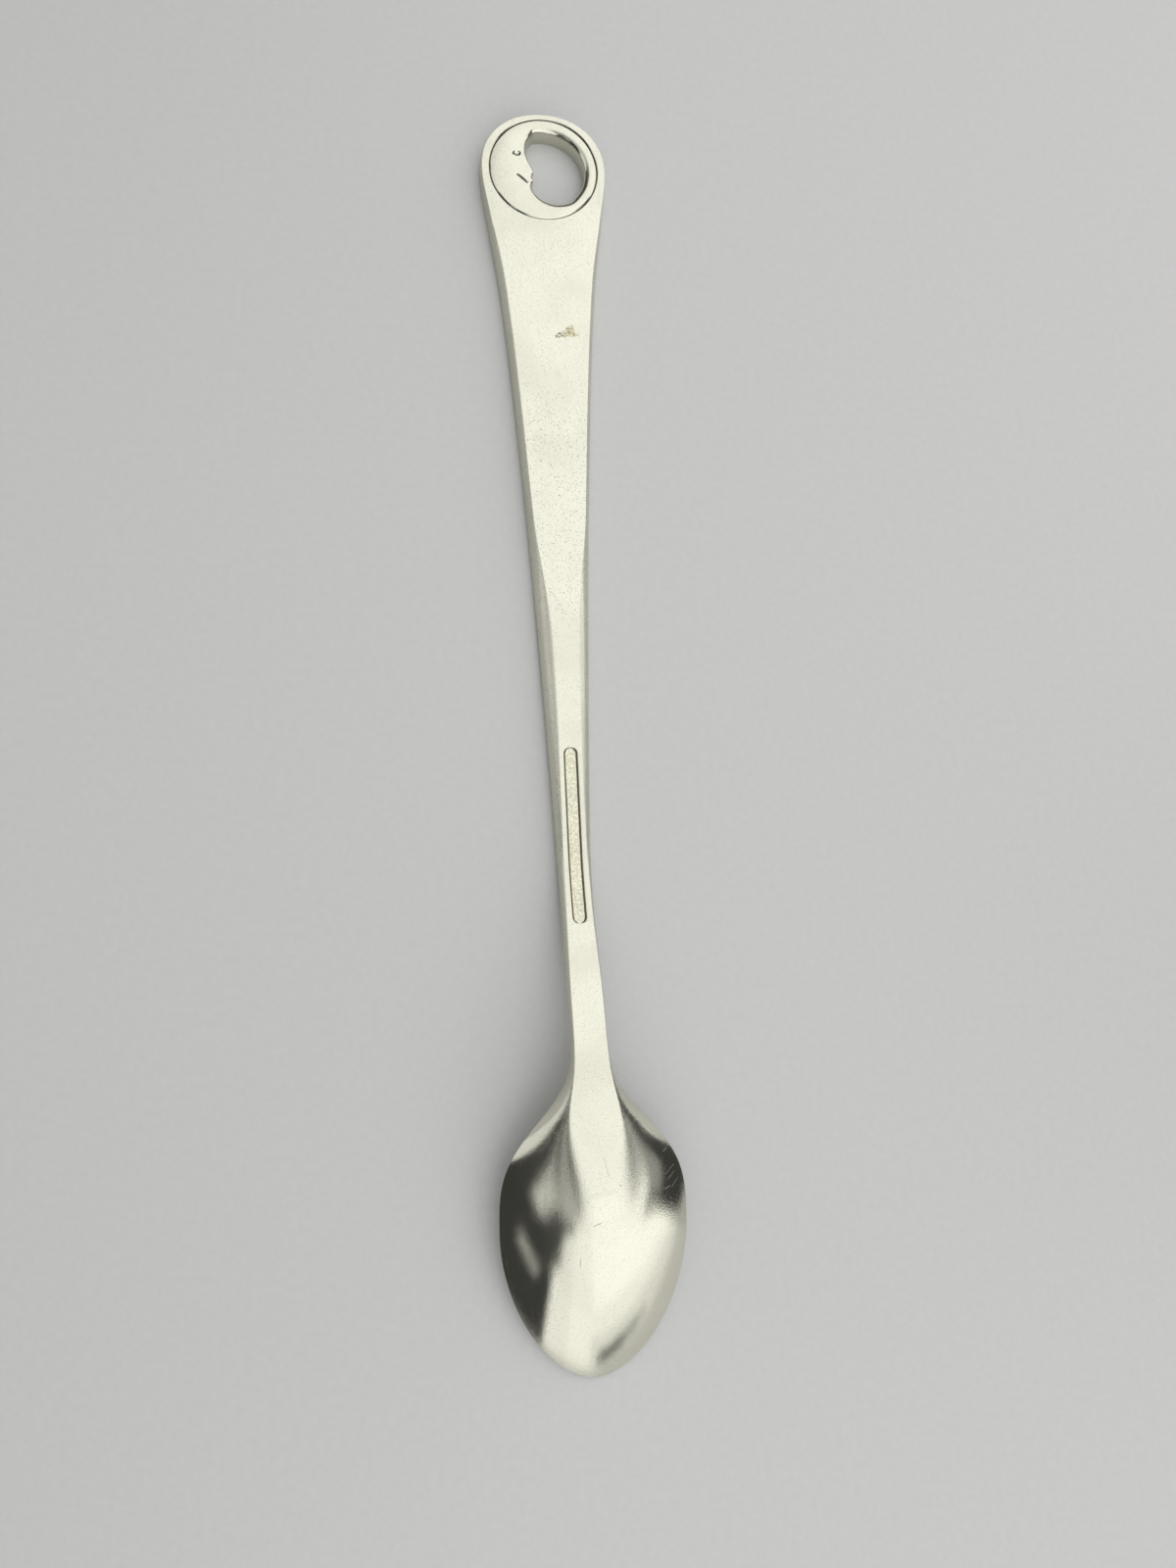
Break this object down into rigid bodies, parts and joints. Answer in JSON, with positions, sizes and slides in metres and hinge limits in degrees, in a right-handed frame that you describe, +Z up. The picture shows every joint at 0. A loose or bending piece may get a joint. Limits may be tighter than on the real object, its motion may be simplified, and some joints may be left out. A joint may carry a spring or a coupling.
{
  "type": "baby spoon",
  "caption": "Stainless steel infant feeding spoon lying face down, with a small egg-shaped bowl, slim stem and flared handle whose round end holds a pierced moon disc.",
  "frame": {"origin": "on the table, under the middle of the spoon's length and width", "axes": "+Y from the bowl to the handle's end, +X to the right seen from above, +Z up from the table; the spoon lies face down"},
  "size_m": [0.0204, 0.1496, 0.0085],
  "materials": {
    "satin_steel": "satin polish with fine wear scratches, brighter on the bowl",
    "struck_steel": "satin polish, struck face, soft rounded edges round the cut-out"
  },
  "bodies": {
    "root": {"spoon_body": "satin_steel", "moon_disc": "struck_steel"}
  },
  "joints": []
}
